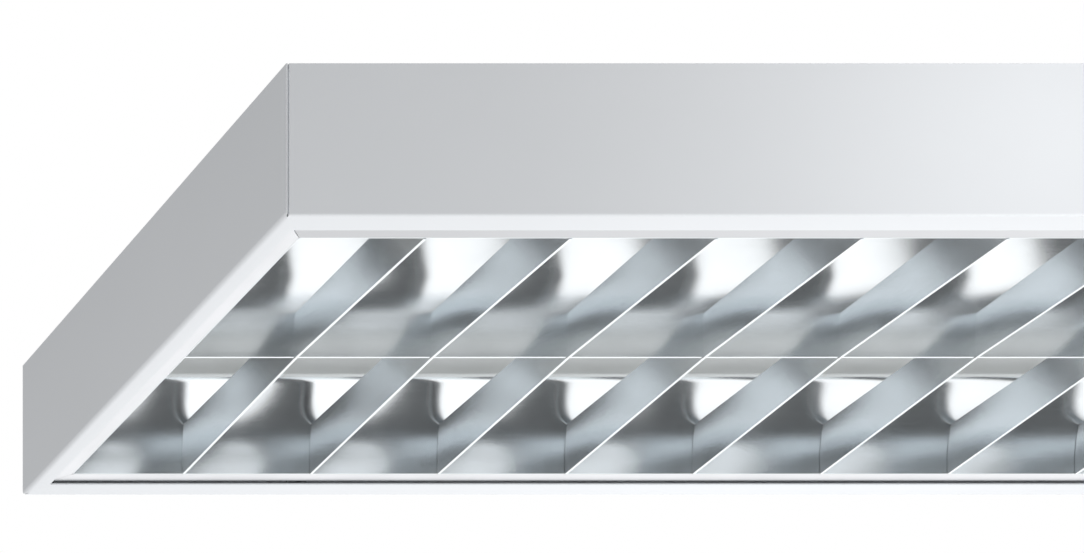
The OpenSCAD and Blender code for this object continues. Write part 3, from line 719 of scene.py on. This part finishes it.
def in_rows(piece, finish_name, first, count, step, rows=1, row_step=(0.0, 0.0, 0.0)):
    """Sets copies of a piece in rows with the node tree and leaves a plain mesh."""
    tree = bpy.data.node_groups.get("Rows of Pieces") or grid_tree()
    modifier = piece.modifiers.new("Rows", "NODES")
    modifier.node_group = tree
    ids = {item.name: item.identifier for item in tree.interface.items_tree if item.in_out == "INPUT"}
    for name, value in (("First Place", first), ("Count", count), ("Step", step), ("Rows", rows),
                        ("Row Step", row_step), ("Finish", material(finish_name))):
        modifier[ids[name]] = value
    apply_modifiers(piece)


class LIGHT_OT_blades(bpy.types.Operator):
    """Builds the row of cross blades"""

    bl_idname = "light.blades"
    bl_label = "Cross blades"

    def execute(self, context):
        s = sizes()
        places = blade_places()
        piece = folded_blade()
        in_rows(piece, "satin_aluminium_cross", (places[0], 0.0, LOUVRE_Z), s.blade_count,
                (places[1] - places[0], 0.0, 0.0))
        ride_as(piece, "louvre", "satin_aluminium", *BLADE_NAMES)
        return {"FINISHED"}


def turned(name, profile):
    """A closed solid turned about the vertical; the profile's first and last points lie on the axis."""
    points = [(0.0, 0.0, profile[0][1]), (0.0, 0.0, profile[-1][1])]
    ring = profile[1:-1]
    angles = [math.tau * k / TURNED_AROUND for k in range(TURNED_AROUND)]
    for r, z in ring:
        points += [(r * math.cos(a), r * math.sin(a), z) for a in angles]
    faces = grid_faces(len(ring), TURNED_AROUND, start=2, closed=True)
    last = 2 + (len(ring) - 1) * TURNED_AROUND
    for k in range(TURNED_AROUND):
        n = (k + 1) % TURNED_AROUND
        faces.append((0, 2 + n, 2 + k))
        faces.append((1, last + k, last + n))
    return mesh_from(name, points, faces, TURNED_CREASE)


def rivet_head():
    """Domed blind rivet with the broken end of its pin in the middle; the sheet's face lies at zero."""
    f = bpy.context.scene.fixing_sizes
    drop, hole = f.rivet_rise, f.rivet_pin
    profile = [(hole * r, -drop * z) for r, z in RIVET_PIN_SHARES]
    for degrees in steps(0.0, 90.0, DOME_STEPS):
        angle = math.radians(degrees)
        profile.append((hole + (f.rivet_head - hole) * math.sin(angle), -drop * math.cos(angle)))
    profile += [(f.rivet_shank, 0.0), (f.rivet_shank, f.rivet_grip), (0.0, f.rivet_grip)]
    return turned("rivet", profile)


def screw_head(name, grip):
    """Slotted pan head screw; the face under its head lies at zero."""
    f = bpy.context.scene.fixing_sizes
    profile = [(f.screw_head * r, -f.screw_rise * z) for r, z in SCREW_HEAD_SHARES]
    profile += [(f.screw_shank, 0.0), (f.screw_shank, grip), (0.0, grip)]
    piece = new_object(name, turned(name, profile))
    work = bmesh.new()
    bmesh.ops.create_cube(work, size=1.0)
    cutter_size = (SLOT_CUT_SHARES[0] * f.screw_head, f.slot_width, SLOT_CUT_SHARES[1] * f.slot_depth)
    bmesh.ops.scale(work, vec=cutter_size, verts=work.verts)
    bmesh.ops.translate(work, vec=(0.0, 0.0, -f.screw_rise), verts=work.verts)
    mesh = bpy.data.meshes.new("slot_cutter")
    work.to_mesh(mesh)
    work.free()
    cutter = new_object("slot_cutter", mesh)
    cut = piece.modifiers.new("Slot", "BOOLEAN")
    cut.operation = "DIFFERENCE"
    cut.solver = "EXACT"
    cut.object = cutter
    apply_modifiers(piece)
    bpy.data.objects.remove(cutter)
    piece.data.set_sharp_from_angle(angle=math.radians(TURNED_CREASE))
    return piece


class LIGHT_OT_fixings(bpy.types.Operator):
    """Makes the rivets of the end caps and the screws of the tray and the ballast"""

    bl_idname = "light.fixings"
    bl_label = "Fixings"

    def execute(self, context):
        f = context.scene.fixing_sizes
        for end in ENDS:
            node = "rivets_" + end
            low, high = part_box(node)
            x = (low.x + high.x) / 2
            spread = high.y - f.rivet_head
            sheet_z = low.z + f.rivet_rise
            piece = new_object("rivets_" + end + "_domed", rivet_head())
            in_rows(piece, "rivet_metal", (x, -spread, sheet_z), RIVETS_PER_CAP, (0.0, spread, 0.0))
            ride_as(piece, "fixture", "rivet_metal", node)
        for node, rows in (("tray_screws", TRAY_SCREW_ROWS), ("ballast_screws", BALLAST_SCREW_ROWS)):
            low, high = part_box(node)
            seat = low.z + f.screw_rise
            first = (low.x + f.screw_head, low.y + f.screw_head, seat)
            along = (high.x - low.x - 2 * f.screw_head, 0.0, 0.0)
            over = (0.0, high.y - low.y - 2 * f.screw_head, 0.0)
            piece = screw_head(node + "_slotted", high.z - seat)
            in_rows(piece, "plated_steel", first, SCREWS_PER_ROW, along, rows, over)
            ride_as(piece, "fixture", "plated_steel", node)
        return {"FINISHED"}


def merged_copy(name, node, angle):
    """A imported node's mesh with its triangles joined and its gentle bends shaded smooth."""
    mesh = NODES[node].data.copy()
    mesh.name = name
    work = bmesh.new()
    work.from_mesh(mesh)
    bmesh.ops.remove_doubles(work, verts=work.verts, dist=MERGE_DISTANCE)
    bmesh.ops.dissolve_limit(work, angle_limit=math.radians(FLAT_ANGLE), verts=work.verts, edges=work.edges)
    work.to_mesh(mesh)
    work.free()
    if "custom_normal" in mesh.attributes:
        mesh.attributes.remove(mesh.attributes["custom_normal"])
    mesh.shade_smooth()
    mesh.set_sharp_from_angle(angle=math.radians(angle))
    return new_object(name, mesh)


class LIGHT_OT_housing(bpy.types.Operator):
    """Joins the housing's sheet so that its folds are smooth"""

    bl_idname = "light.housing"
    bl_label = "Housing"

    def execute(self, context):
        for node in ("housing", "end_cap_left", "end_cap_right"):
            piece = merged_copy(node + "_sheet", node, FOLD_CREASE)
            if node == "housing":
                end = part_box(node)[1].x
                for point in piece.data.vertices:
                    if abs(point.co.x) > end - sizes().fit:
                        point.co.x -= math.copysign(sizes().seam, point.co.x)
            ride_as(piece, "fixture", "painted_steel", node)
        for node in ("wiring_left", "wiring_right", "wiring_supply"):
            piece = merged_copy(node + "_covers", node, COVER_CREASE)
            ride_as(piece, "fixture", "wire_cover", node)
        return {"FINISHED"}


class LIGHT_OT_border(bpy.types.Operator):
    """Slopes the face of the louvre's free long side outwards, where fingers take hold of it"""

    bl_idname = "light.border"
    bl_label = "Border"

    def execute(self, context):
        s = sizes()
        low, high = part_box("rail_near")
        piece = merged_copy("rail_near_sheet", "rail_near", RAIL_CREASE)
        face_top = LOUVRE_Z + FACE_SHARE * s.rim_sheet
        for point in piece.data.vertices:
            if point.co.z < face_top:
                point.co.z += s.rim_slope * (high.y - point.co.y) / (high.y - low.y)
        piece.data.materials.clear()
        piece.data.materials.append(material("rail_aluminium"))
        ride_as(piece, "louvre", "rail_aluminium", "rail_near")
        return {"FINISHED"}


class LIGHT_OT_tubes(bpy.types.Operator):
    """Turns the two coated glass tubes with their drawn-in ends"""

    bl_idname = "light.tubes"
    bl_label = "Tubes"

    def execute(self, context):
        for side in SIDES:
            node = "tube_" + side
            low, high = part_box(node)
            y, z = (low.y + high.y) / 2, (low.z + high.z) / 2
            radius = (high.z - low.z) / 2
            end = [(d, r * radius) for d, r in zip(TUBE_ENDS, TUBE_END_SHARES)]
            rings = [(-high.x + d, r) for d, r in end] + [(high.x - d, r) for d, r in reversed(end)]
            angles = [math.tau * k / TUBE_AROUND for k in range(TUBE_AROUND)]
            points = [(x, y + r * math.cos(a), z + r * math.sin(a)) for x, r in rings for a in angles]
            faces = grid_faces(len(rings), TUBE_AROUND, closed=True)
            faces.append(tuple(range(TUBE_AROUND)))
            faces.append(tuple(range(len(points) - TUBE_AROUND, len(points))))
            mesh = mesh_from("glass_" + side, points, faces, GLASS_CREASE)
            piece = new_object("glass_" + side, mesh, material("tube_glass"))
            ride_as(piece, "lamp_" + side, "tube_glass", node)
        return {"FINISHED"}


# Studio

def floor_material():
    """Pale floor that only the camera meets, and only from above, so that it shuts no light off."""
    skin = bpy.data.materials.new("studio_floor")
    skin.use_nodes = True
    tree = skin.node_tree
    shader = tree.nodes["Principled BSDF"]
    shader.inputs["Base Color"].default_value = FLOOR_COLOUR
    shader.inputs["Roughness"].default_value = FLOOR_ROUGHNESS
    shader.inputs["Emission Color"].default_value = WHITE
    shader.inputs["Emission Strength"].default_value = FLOOR_GLOW
    side = tree.nodes.new("ShaderNodeNewGeometry")
    path = tree.nodes.new("ShaderNodeLightPath")
    shown = tree.nodes.new("ShaderNodeMath")
    shown.operation = "SUBTRACT"
    shown.use_clamp = True
    tree.links.new(path.outputs["Is Camera Ray"], shown.inputs[0])
    tree.links.new(side.outputs["Backfacing"], shown.inputs[1])
    clear = tree.nodes.new("ShaderNodeBsdfTransparent")
    mix = tree.nodes.new("ShaderNodeMixShader")
    tree.links.new(shown.outputs["Value"], mix.inputs["Fac"])
    tree.links.new(clear.outputs["BSDF"], mix.inputs[1])
    tree.links.new(shader.outputs["BSDF"], mix.inputs[2])
    tree.links.new(mix.outputs["Shader"], tree.nodes["Material Output"].inputs["Surface"])
    return skin


def surroundings(studio):
    """White behind the light, a soft fill, and for metal a room, bright at the right and dim at the left."""
    world = bpy.data.worlds.new("surroundings")
    world.use_nodes = True
    tree = world.node_tree
    link = tree.links.new

    def passed(value, band):
        """Rises from 0 to 1 where the value passes the band."""
        node = tree.nodes.new("ShaderNodeMapRange")
        node.interpolation_type = "SMOOTHSTEP"
        node.inputs["From Min"].default_value, node.inputs["From Max"].default_value = band
        link(value, node.inputs["Value"])
        return node.outputs["Result"]

    def mixed(factor, a, b):
        node = tree.nodes.new("ShaderNodeMix")
        link(factor, node.inputs["Factor"])
        for key, value in (("A", a), ("B", b)):
            if isinstance(value, float):
                node.inputs[key].default_value = value
            else:
                link(value, node.inputs[key])
        return node.outputs["Result"]

    way = tree.nodes.new("ShaderNodeTexCoord")
    parts = tree.nodes.new("ShaderNodeSeparateXYZ")
    link(way.outputs["Generated"], parts.inputs["Vector"])
    path = tree.nodes.new("ShaderNodeLightPath")
    right = mixed(passed(parts.outputs["Z"], LOW_BAND), studio.below, studio.bright)
    room = mixed(passed(parts.outputs["X"], SIDE_BAND), studio.dim, right)
    fill = mixed(passed(parts.outputs["Z"], FILL_BAND), studio.fill_under, studio.fill_over)
    seen = mixed(path.outputs["Is Glossy Ray"], fill, room)
    background = tree.nodes["Background"]
    background.inputs["Color"].default_value = WHITE
    link(mixed(path.outputs["Is Camera Ray"], seen, 1.0), background.inputs["Strength"])
    return world


def area_light(name, layout, power, in_metal=True):
    """A rectangular light; in_metal tells whether the polished pieces mirror it."""
    place, aim, size = layout
    data = bpy.data.lights.new(name, "AREA")
    data.shape = "RECTANGLE"
    data.size, data.size_y = size
    data.energy = power
    lamp = bpy.data.objects.new(name, data)
    bpy.context.scene.collection.objects.link(lamp)
    lamp.location = place
    lamp.rotation_euler = (Vector(aim) - Vector(place)).to_track_quat("-Z", "Y").to_euler()
    lamp.visible_glossy = in_metal


def place_camera():
    """Sets up the camera; a slanted holder keeps every line across the picture level, as photographed."""
    data = bpy.data.cameras.new("camera")
    camera = bpy.data.objects.new("camera", data)
    holder = bpy.data.objects.new("camera_holder", None)
    for o in (camera, holder):
        bpy.context.scene.collection.objects.link(o)
    ahead = Vector((PHOTO[0] / 2 - VANISHING[0], FOCAL, VANISHING[1] - PHOTO[1] / 2))
    back = -ahead.normalized()
    eye = Vector((-HALF_L, -HALF_W, -BODY_H)) + Vector(EYE) * MM
    camera.parent = holder
    camera.matrix_parent_inverse = Matrix((
        (1.0, 0.0, back.x, eye.x),
        (0.0, 0.0, back.y, eye.y),
        (0.0, 1.0, back.z, eye.z),
        (0.0, 0.0, 0.0, 1.0),
    ))
    data.sensor_width = SENSOR_WIDTH
    data.lens = data.sensor_width * ahead.length / PHOTO[0]
    data.clip_end = CLIP_END
    bpy.context.scene.camera = camera


class LIGHT_OT_stage(bpy.types.Operator):
    """Sets up the floor, the lights, the surroundings and the camera"""

    bl_idname = "light.stage"
    bl_label = "Stage"

    def execute(self, context):
        scene = context.scene
        studio = scene.studio_sizes
        scene.view_settings.view_transform = "Standard"
        signs = ((-1, -1), (1, -1), (1, 1), (-1, 1))
        corners = [(x * FLOOR_REACH, y * FLOOR_REACH, studio.floor_z) for x, y in signs]
        mesh = bpy.data.meshes.new("floor")
        mesh.from_pydata(corners, [], [(0, 1, 2, 3)])
        new_object("floor", mesh, floor_material())

        scene.world = surroundings(studio)
        area_light("low_light", LOW_LIGHT, studio.low)
        area_light("key_light", KEY_LIGHT, studio.key, in_metal=False)
        area_light("lip_light", LIP_LIGHT, studio.lip, in_metal=False)
        place_camera()
        return {"FINISHED"}


class LIGHT_PT_panel(bpy.types.Panel):
    """Lists the steps that build the light"""

    bl_label = "Louvered Light"
    bl_space_type = "VIEW_3D"
    bl_region_type = "UI"
    bl_category = "Louvre Light"

    def draw(self, context):
        column = self.layout.column()
        for name in STEPS:
            column.operator("light." + name)
        for group in ("louvre_sizes", "fixing_sizes", "light_finish", "studio_sizes"):
            values = getattr(context.scene, group)
            box = self.layout.box()
            for key in values.__annotations__:
                box.prop(values, key)


STEPS = ("finishes", "housing", "side_reflectors", "centre_reflector", "end_reflectors", "blades", "border",
         "fixings", "tubes", "stage")
CLASSES = (LouvreSizes, FixingSizes, LightFinish, StudioSizes, LIGHT_OT_finishes, LIGHT_OT_housing,
           LIGHT_OT_side_reflectors, LIGHT_OT_centre_reflector, LIGHT_OT_end_reflectors, LIGHT_OT_blades,
           LIGHT_OT_border, LIGHT_OT_fixings, LIGHT_OT_tubes, LIGHT_OT_stage, LIGHT_PT_panel)


def register():
    for cls in CLASSES:
        bpy.utils.register_class(cls)
    bpy.types.Scene.louvre_sizes = PointerProperty(type=LouvreSizes)
    bpy.types.Scene.fixing_sizes = PointerProperty(type=FixingSizes)
    bpy.types.Scene.light_finish = PointerProperty(type=LightFinish)
    bpy.types.Scene.studio_sizes = PointerProperty(type=StudioSizes)


def unregister():
    del bpy.types.Scene.studio_sizes
    del bpy.types.Scene.light_finish
    del bpy.types.Scene.fixing_sizes
    del bpy.types.Scene.louvre_sizes
    for cls in reversed(CLASSES):
        bpy.utils.unregister_class(cls)


def main():
    register()
    for name in STEPS:
        getattr(bpy.ops.light, name)()


if __name__ == "__main__":
    main()
